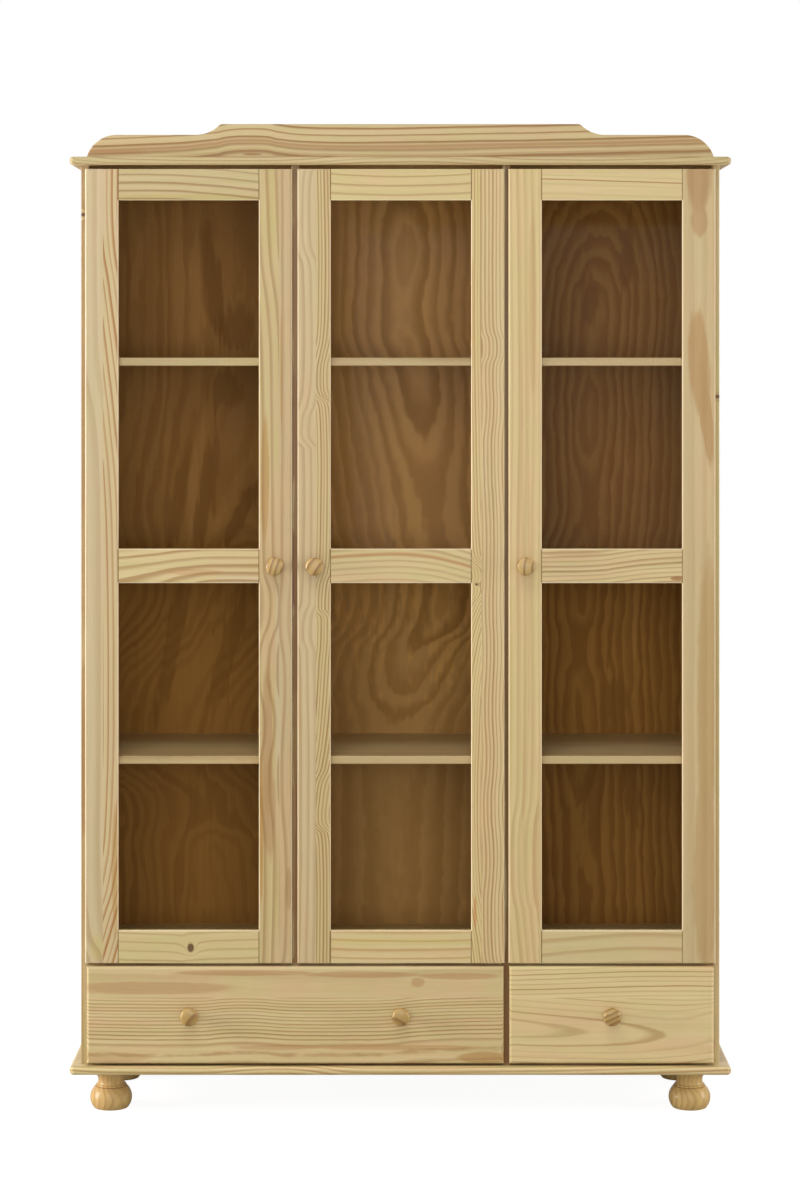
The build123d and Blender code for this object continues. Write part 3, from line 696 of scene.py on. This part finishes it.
def metal(name):
    look = metals[name]
    material, paint = newPaint(name)
    place = paint.node("TexCoord", output="Object")
    grain, smear = (
        paint.node("TexNoise", None, {"Vector": place, "Scale": scale, "Detail": detail})
        for scale, detail in (metalWear["grain"], metalWear["smear"])
    )
    finish = {
        "Base Color": smear.blend(shade(*look["tint"]), shade(*metalWear["worn"])),
        "Metallic": 1.0,
        "Roughness": look["roughness"] + grain * 0.1 + smear * 0.08,
    }
    finishPaint(paint, paint.node("BsdfPrincipled", None, finish))
    return material


paneLook = {"tint": (0.985, 0.995, 0.99, 1), "mirror": 0.0008, "slant": 0.55, "fade": 4}


def clearGlass(name):
    # clear from in front, a mirror at a slant
    material, paint = newPaint(name)
    slant = paint.node("LayerWeight", None, {"Blend": 0.5}, 1)
    mirror = slant ** paneLook["fade"] * paneLook["slant"] + paneLook["mirror"]
    clear = paint.node("BsdfTransparent", None, {"Color": paneLook["tint"]})
    gloss = paint.node("BsdfAnisotropic", None, {"Color": (1, 1, 1, 1), "Roughness": 0.0})
    finishPaint(paint, paint.node("MixShader", None, {0: mirror, 1: clear, 2: gloss}))
    return material


nickel, zinc, glass = metal("hinge.nickel"), metal("support.zinc"), clearGlass("pane.glass")
for place in bays:
    dress(f"{place}_door_glass", glass)
    dress(f"{place}_door_hinge_cups", nickel)
dress("hinge_arms", nickel)
dress("shelf_supports", zinc)


turned = {"steps": 5, "crease": 32}  # points between two of a profile, and degrees of a sharp edge


def smoothRun(points):
    # a smooth curve through a few (radius, height) points
    steps = turned["steps"]
    made = []
    for index in range(len(points) - 1):
        p0 = points[max(index - 1, 0)]
        p1, p2 = points[index], points[index + 1]
        p3 = points[min(index + 2, len(points) - 1)]
        for t in (step / steps for step in range(steps)):
            made.append(tuple(
                0.5 * (2 * b + (c - a) * t + (2 * a - 5 * b + 4 * c - d) * t**2
                       + (3 * b - a - 3 * c + d) * t**3)
                for a, b, c, d in zip(p0, p1, p2, p3)
            ))
    made.append(points[-1])
    return made


def stand(x, y, z, facing):
    # a place with +Z facing along an axis of the room, and lengths on it in mm
    turns = {"z": (0, "X"), "-y": (90, "X"), "y": (-90, "X"), "x": (90, "Y"), "-x": (-90, "Y")}
    angle, axis = turns[facing]
    turn = Matrix.Rotation(math.radians(angle), 4, axis)
    return Matrix.Translation(Vector((x, y, z)) * mm) @ turn @ Matrix.Scale(mm, 4)


def ringed(rows, sides, place):
    # skin over rings about +Z: (radius, height), with a number or a function of the angle as radius
    verts, faces, rings = [], [], []
    for radius, height in rows:
        if not callable(radius) and radius < 1e-6:
            rings.append([len(verts)] * sides)
            verts.append(place @ Vector((0, 0, height)))
            continue
        rings.append(list(range(len(verts), len(verts) + sides)))
        for side in range(sides):
            angle = 2 * math.pi * side / sides
            reach = radius(angle) if callable(radius) else radius
            verts.append(place @ Vector((reach * math.cos(angle), reach * math.sin(angle), height)))
    for first, second in zip(rings, rings[1:]):
        for side in range(sides):
            following = (side + 1) % sides
            corners = [first[side], first[following], second[following], second[side]]
            face = [c for i, c in enumerate(corners) if c not in corners[:i]]
            if len(face) > 2:
                faces.append(face)
    return verts, faces


def assemble(name, shapes, material, body, stoodFor=None):
    # one piece of several (verts, faces) shapes
    verts, faces = [], []
    for shapeVerts, shapeFaces in shapes:
        start = len(verts)
        verts += shapeVerts
        faces += [[start + corner for corner in face] for face in shapeFaces]
    mesh = bpy.data.meshes.new(name)
    mesh.from_pydata(verts, [], faces)
    mesh.polygons.foreach_set("use_smooth", [True] * len(mesh.polygons))
    mesh.set_sharp_from_angle(angle=math.radians(turned["crease"]))
    mesh.materials.append(material)
    piece = addToScene(name, mesh)
    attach(piece, body)
    if stoodFor:
        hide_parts(stoodFor)


def profileOf(runs):
    # a profile of runs that meet at sharp corners
    profile = []
    for run in runs:
        line = smoothRun(run) if len(run) > 2 else list(run)
        profile += line if not profile else line[1:]
    return profile


faceY, doorBack = (corner.y for corner in nodeBox("left_door_left_stile"))

# Knobs: a thin neck and a broad head, with the grain across the face
knobShape = {
    "neck": ((9.3, 0), (8.7, 3), (8.9, 7), (11.2, 10.3), (14.2, 11.6)),
    "head": ((14.2, 11.6), (16.4, 12.6), (17.4, 15.2), (17.4, 19.0), (16.2, 22.4), (13.6, 24.4)),
    "face": ((13.6, 24.4), (9.0, 25.5), (4.5, 25.9), (0, 26.0)),
    "sides": 64,
}
doorKnobs = {
    "left_door_knob": {"at": (-244.33, 1069.75), "slope": 72, "ring": 10.5, "edge": -1.6},
    "middle_door_knob": {"at": (-167.33, 1069.75), "slope": 56, "ring": 17, "edge": -3.6, "share": 0.5},
    "right_door_knob": {"at": (244.33, 1069.75), "slope": 84, "ring": 15, "edge": 6, "share": 0.4},
}
drawerKnobs = {
    "wide_drawer_knob_left": {"at": (-410.96, 193.75), "slope": 50, "ring": 36, "edge": 1, "share": 0.3},
    "wide_drawer_knob_right": {"at": (1.04, 193.75), "slope": -28, "ring": 34, "edge": -1, "share": 0.25},
    "narrow_drawer_knob": {"at": (412.04, 193.75), "slope": 24, "ring": 9.3, "edge": 1},
}
knobLook = {
    "share": 0.6, "early": (188, 150, 96), "warm": (182, 154, 92), "late": (130, 92, 42),
    "dark": (150, 108, 62),  # of its fibres
    "wander": 1.0, "wanderSize": (50, 20), "fibreSize": (30, 0.9), "cloudSize": (30, 10),
    "lateEnd": 0.9,  # where in a ring the late wood ends
    "lean": 30,  # rings in a metre of depth
    "roughness": 0.36, "shine": 0.5, "relief": 0.3, "reliefDepth": 0.3,
}
drawerKnobLook = {**knobLook, "early": (174, 139, 80), "warm": (168, 141, 78)}


def knobPaint(name, look):
    # broad stripes of the rings run across the face at this knob's own slope
    material, paint = newPaint(name)
    x, z = look["at"]
    middle = (x, faceY - knobShape["face"][-1][1], z)
    east, deep, up = (part - place * mm for part, place in zip(roomAxes(paint), middle))
    slope = math.radians(look["slope"])
    along = east * math.cos(slope) + up * math.sin(slope)
    across = up * math.cos(slope) - east * math.sin(slope)
    parts, seed = (along, across, deep), x
    wander = noise(paint, parts, look["wanderSize"], seed) * (look["wander"] * mm)
    rings = (across + wander - look["edge"] * mm) * (1 / (look["ring"] * mm)) + deep * look["lean"]
    inYear = paint.sum("FRACT", rings)
    end = look["lateEnd"]
    late = inYear.ease(end - look["share"], end - 0.02) * inYear.ease(end, 1.0, 1.0, 0.0)
    fibre = noise(paint, parts, look["fibreSize"], seed + 5, 2.0)
    cloud = noise(paint, parts, look["cloudSize"], seed + 7)
    colour = cloud.ease(-0.5, 0.5).blend(shade(*look["early"]), shade(*look["warm"]))
    colour = (late * 0.9).blend(colour, shade(*look["late"]))
    colour = (fibre * 0.5 + 0.5).ease(0.2, 0.9, 0.0, 0.2).blend(colour, shade(*look["dark"]))
    finishWood(paint, look, colour, look["roughness"] + fibre * 0.05, late + fibre * 0.4)
    return material


def makeKnob(name, look, stoodFor):
    x, z = look["at"]
    profile = profileOf([knobShape[part] for part in ("neck", "head", "face")])
    shape = ringed(profile, knobShape["sides"], stand(x, faceY, z, "-y"))
    body = "_".join(name.split("_")[:2])
    assemble(name + ".turned", [shape], knobPaint(name + ".pine", look), body, stoodFor)


for name, look in doorKnobs.items():
    makeKnob(name, {**knobLook, **look}, name)
for name, look in drawerKnobs.items():
    makeKnob(name, {**drawerKnobLook, **look}, name.split("_knob")[0] + "_knobs")

# Bun feet: a flattened ball under a bead, a hollow neck and a flange
footShape = {
    "ball": [
        (11 + 30 * math.cos(math.radians(a)), 20 + 30 * math.sin(math.radians(a)))
        for a in (-41.8, -28, -14, 0, 14, 27, 38, 47.2)
    ],
    "bead": ((28.2, 42.4), (29.6, 43.0), (30.0, 44.3), (29.6, 45.7), (28.2, 46.4)),
    "neck": ((27.4, 46.9), (25.9, 50.0), (25.5, 54.0), (26.3, 59.5), (28.7, 64.8)),
    "sole": (30.5, 0),
    "lip": ((29.8, 65.2), (31.0, 66.4)),
    "top": (31.0, 78.0),
    "block": 40,  # half of the block that it was turned from
    "sides": 96,
}
footPlaces = {
    f"{side}_{end}": (x, y)
    for end, y in (("front", -111), ("rear", 124))
    for side, x in (("left", -570), ("right", 570))
}
footLook = {
    "grain": "z", "heart": 16, "deep": 20, "ring": 8.0, "contrast": 0.42, "wave": 4,
    "early": (206, 172, 112), "green": (198, 168, 102), "pink": (198, 158, 102),
    "late": (150, 106, 56), "roughness": 0.32, "tone": 0.95,
}
ball, bead, neck = (footShape[part] for part in ("ball", "bead", "neck"))
sole, lip, top = (footShape[part] for part in ("sole", "lip", "top"))
footProfile = profileOf([
    [(0, 0), sole], [sole, ball[0]], ball, [ball[-1], bead[0]], bead, [bead[-1], neck[0]], neck,
    [neck[-1], *lip], [lip[-1], top], [top, (0, top[1])],
])
for index, (name, (x, y)) in enumerate(footPlaces.items()):
    block = footShape["block"]
    box = (Vector((x - block, y - block, 0)) * mm, Vector((x + block, y + block, top[1])) * mm)
    paint = pine(f"bun_foot_{name}.pine", box, {**footLook, "seed": 90 + index})
    shape = ringed(footProfile, footShape["sides"], stand(x, y, 0, "z"))
    assemble(f"bun_foot_{name}", [shape], paint, "carcass", "bun_feet")
print("cabinet: knobs and feet turned")


def boxReach(halfX, halfY, corner=0.0):
    # how far the edge of a rectangle with round corners is from its middle, at an angle
    def reach(angle):
        c, s = abs(math.cos(angle)), abs(math.sin(angle))
        far = min(halfX / max(c, 1e-6), halfY / max(s, 1e-6))
        x, y = halfX - corner, halfY - corner
        if far * c > x and far * s > y:
            along = x * c + y * s
            far = along + math.sqrt(max(along * along - x * x - y * y + corner * corner, 0))
        return far

    return reach


def crossReach(arm, half):
    flat, upright = boxReach(arm, half), boxReach(half, arm)
    return lambda angle: max(flat(angle), upright(angle))


def grown(reach, extra, least=0.0):
    return lambda angle: max(reach(angle), least) + extra


crossSlot = {"arm": 0.62, "half": 0.24, "floorArm": 0.7, "floorHalf": 0.2}  # shares of what is above


def screwHead(size, place):
    # a low domed head, of a radius and a height, with a cross recess
    radius, height = size
    arm = radius * crossSlot["arm"]
    rows = [
        (radius, 0), (radius * 0.97, height * 0.45), (radius * 0.86, height * 0.8), (radius * 0.74, height),
        (crossReach(arm, arm * crossSlot["half"]), height),
        (crossReach(arm * crossSlot["floorArm"], arm * crossSlot["floorHalf"]), height * 0.35),
        (0, height * 0.3),
    ]
    return ringed(rows, 48, place)


def bevelled(outline, low, high, width, place):
    # a prism over an outline, with rounded edges
    solid = bmesh.new()
    rows = [[solid.verts.new((x, y, level)) for x, y in outline] for level in (low, high)]
    for row in rows:
        solid.faces.new(row)
    for index in range(len(outline)):
        following = (index + 1) % len(outline)
        solid.faces.new((rows[0][index], rows[0][following], rows[1][following], rows[1][index]))
    bmesh.ops.recalc_face_normals(solid, faces=solid.faces)
    bmesh.ops.bevel(
        solid, geom=list(solid.edges), offset=width, segments=3, profile=0.5, affect="EDGES"
    )
    solid.verts.index_update()
    verts = [place @ vert.co for vert in solid.verts]
    faces = [[vert.index for vert in face.verts] for face in solid.faces]
    solid.free()
    return verts, faces


# Concealed hinges: a hollow cup under a winged flange in the door, and an arm on its plate
hingeShape = {
    "cup": (17.5, 11.5),
    "wing": (12, 28, 5),
    "flange": 1.2,
    "cupScrews": (22, (3.6, 1.4)),  # how far up and down from the middle; radius and height
    "plate": (25, 16, 7),
    "plateMiddle": -111,  # y
    "plateThick": 3.0,
    "plateScrews": (17, (4.0, 1.2)),
    "armThick": 9.0,
    "armHalf": 7.0,
    "armEdge": 1.4,
    "armScrews": ((-7, 9), (3.4, 0.9)),  # how far from the plate's middle, in y
    "nose": (-151.4, -143.4, 1.5),  # its y reach, and how far past the cup's middle
    "levels": {"low": 390.5, "middle": 1179.75, "high": 1749.0},
}
hingePlaces = {  # wall, inward, cup middle
    "left": (-609, 1, -593.0),
    "middle": (199.083, -1, 181.333),
    "right": (609, -1, 593.0),
}


def hingeCup(x, z):
    radius, depth = hingeShape["cup"]
    flange = hingeShape["flange"]
    wing = boxReach(*hingeShape["wing"])
    rim = radius + 0.8
    rows = [
        (0, -depth), (radius - 2, -depth), (radius - 0.6, 0.7 - depth), (radius, 2 - depth), (radius, 0),
        (grown(wing, 0, rim), 0), (grown(wing, 0, rim), flange - 0.4), (grown(wing, -0.4, rim), flange),
        (radius - 1.0, flange), (radius - 1.5, flange - 0.5), (radius - 1.5, 2.4 - depth),
        (radius - 2.4, 1.2 - depth), (radius - 4, 0.8 - depth), (0, 0.8 - depth),
    ]
    away, size = hingeShape["cupScrews"]
    screws = [screwHead(size, stand(x, doorBack + flange, z + rise, "y")) for rise in (-away, away)]
    return [ringed(rows, 96, stand(x, doorBack, z, "y")), *screws]


def hingeArm(wall, inward, cupX, z):
    facing = "x" if inward > 0 else "-x"
    middle, thick = hingeShape["plateMiddle"], hingeShape["plateThick"]
    plate = boxReach(*hingeShape["plate"])
    half = hingeShape["plate"][1]
    face = wall + inward * thick
    top = face + inward * hingeShape["armThick"]
    noseLow, noseHigh, past = hingeShape["nose"]
    end = cupX + inward * past
    outline = [
        (face, middle + half), (top, middle + half), (top, middle - half + 5),
        (top - inward * 1, middle - half), (end, noseHigh), (end, noseLow), (face, noseLow),
    ]
    rows = [(plate, 0), (plate, thick - 0.7), (grown(plate, -0.7), thick), (0, thick)]
    height, edge = hingeShape["armHalf"], hingeShape["armEdge"]
    away, size = hingeShape["plateScrews"]
    places, armSize = hingeShape["armScrews"]
    return [
        ringed(rows, 64, stand(wall, middle, z, facing)),
        bevelled(outline, -height, height, edge, stand(0, 0, z, "z")),
        *(screwHead(size, stand(face, middle, z + rise, facing)) for rise in (-away, away)),
        *(screwHead(armSize, stand(top, middle + reach, z, facing)) for reach in places),
    ]


for place, (wall, inward, cupX) in hingePlaces.items():
    for level, z in hingeShape["levels"].items():
        door = f"{place}_door"
        cup, arm = hingeCup(cupX, z), hingeArm(wall, inward, cupX, z)
        assemble(f"{door}_hinge_cup_{level}", cup, nickel, door, door + "_hinge_cups")
        assemble(f"{place}_hinge_arm_{level}", arm, nickel, "carcass", "hinge_arms")

# Screws and washers behind the knobs
knobScrew = {"washer": [(6.0, 0), (6.0, 0.4), (5.7, 0.6), (0, 0.6)], "head": (4.2, 1.5)}
for name, look in {**doorKnobs, **drawerKnobs}.items():
    side, kind = name.split("_")[:2]
    back = doorBack if kind == "door" else nodeBox(f"{side}_drawer_front")[1].y
    x, z = look["at"]
    washer = knobScrew["washer"]
    shapes = [
        ringed(washer, 48, stand(x, back, z, "y")),
        screwHead(knobScrew["head"], stand(x, back + washer[-1][1], z, "y")),
    ]
    assemble(name + ".screw", shapes, zinc, f"{side}_{kind}")

# Nails round the back panels
nailShape = {
    "head": [(2.1, 0), (2.0, 0.35), (1.6, 0.55), (0, 0.6)], "inset": 5.0, "levels": 8, "across": 3,
}
for place in bays:
    low, high = nodeBox(f"back_panel_{place}")
    inset, count, across = nailShape["inset"], nailShape["levels"], nailShape["across"]
    spots = [
        (x, low.z + inset + (high.z - low.z - 2 * inset) * step / (count - 1))
        for x in (low.x + inset, high.x - inset)
        for step in range(count)
    ]
    spots += [
        (low.x + inset + (high.x - low.x - 2 * inset) * (step + 1) / (across + 1), z)
        for z in (low.z + inset, high.z - inset)
        for step in range(across)
    ]
    shapes = [ringed(nailShape["head"], 16, stand(x, high.y, z, "y")) for x, z in spots]
    assemble(f"back_panel_nails_{place}", shapes, zinc, "carcass")
print("cabinet: hinges, screws and nails made")

# Floor, light and camera
studio = {
    "floor": (188, 188, 186),
    "floorWhite": 0.62,  # how much of the floor's colour the camera sees as plain white
    "floorGlow": 1.5,
    "surround": 0.36,
    "floorReach": 60.0,
}


def floorPaint():
    material, paint = newPaint("studio.floor")
    rays = paint.node("LightPath", output="Is Camera Ray")
    pale = paint.node("BsdfDiffuse", None, {"Color": shade(*studio["floor"])})
    glow = paint.node("Emission", None, {"Color": (1, 1, 1, 1), "Strength": studio["floorGlow"]})
    mixed = paint.node("MixShader", None, {0: rays * studio["floorWhite"], 1: pale, 2: glow})
    finishPaint(paint, mixed)
    return material


floorMesh = bpy.data.meshes.new("studioFloor")
reach = studio["floorReach"]
floorCorners = [(x * reach, y * reach, 0) for x, y in ((-1, -1), (1, -1), (1, 1), (-1, 1))]
floorMesh.from_pydata(floorCorners, [], [(0, 1, 2, 3)])
floorMesh.materials.append(floorPaint())
addToScene("studioFloor", floorMesh)

world = bpy.data.worlds.new("studio")
bpy.context.scene.world = world
world.use_nodes = True
world.node_tree.nodes.clear()
air = Wire(world.node_tree)
seen, shiny, through = (
    air.node("LightPath", output=f"Is {kind} Ray") for kind in ("Camera", "Glossy", "Transmission")
)
white = air.sum("MAXIMUM", air.sum("MAXIMUM", seen, shiny), through)
strength = white * (1 - studio["surround"]) + studio["surround"]
sky = air.node("Background", None, {"Color": (1, 1, 1, 1), "Strength": strength})
finishPaint(air, sky, "OutputWorld")

lamps = {
    "main": {"at": (-1.0, -5.4, 2.4), "aim": (0, 0, 0.95), "size": (2.2, 3.4), "power": 56},
    "fill": {"at": (0.7, -5.9, 1.3), "aim": (0, 0, 0.95), "size": (1.8, 1.4), "power": 47},
    "left": {"at": (-4.5, -0.8, 1.2), "aim": (0, 0, 1.0), "size": (1.0, 2.6), "power": 225},
    "right": {"at": (4.5, -0.8, 1.2), "aim": (0, 0, 1.0), "size": (1.0, 2.6), "power": 115},
    "above": {"at": (-0.5, -2.2, 4.6), "aim": (0, 0, 0.95), "size": (2.0, 1.2), "power": 50},
}
for name, lamp in lamps.items():
    light = bpy.data.lights.new("lamp." + name, "AREA")
    light.shape = "RECTANGLE"
    light.size, light.size_y = lamp["size"]
    light.energy = lamp["power"]
    holder = addToScene("lamp." + name, light)
    holder.location = lamp["at"]
    way = Vector(lamp["aim"]) - Vector(lamp["at"])
    holder.rotation_euler = way.to_track_quat("-Z", "Y").to_euler()

view = {"at": (0.0, -5.781, 1.475), "lens": 86.27, "sensor": 36.0, "shift": (-0.00025, -0.2015)}
eye = bpy.data.cameras.new("view")
eye.lens = view["lens"]
eye.sensor_width = view["sensor"]
eye.shift_x, eye.shift_y = view["shift"]
camera = addToScene("view", eye)
camera.location = view["at"]
camera.rotation_euler = (math.pi / 2, 0, 0)
bpy.context.scene.camera = camera
bpy.context.scene.view_settings.view_transform = "Standard"

print("cabinet: scene set")
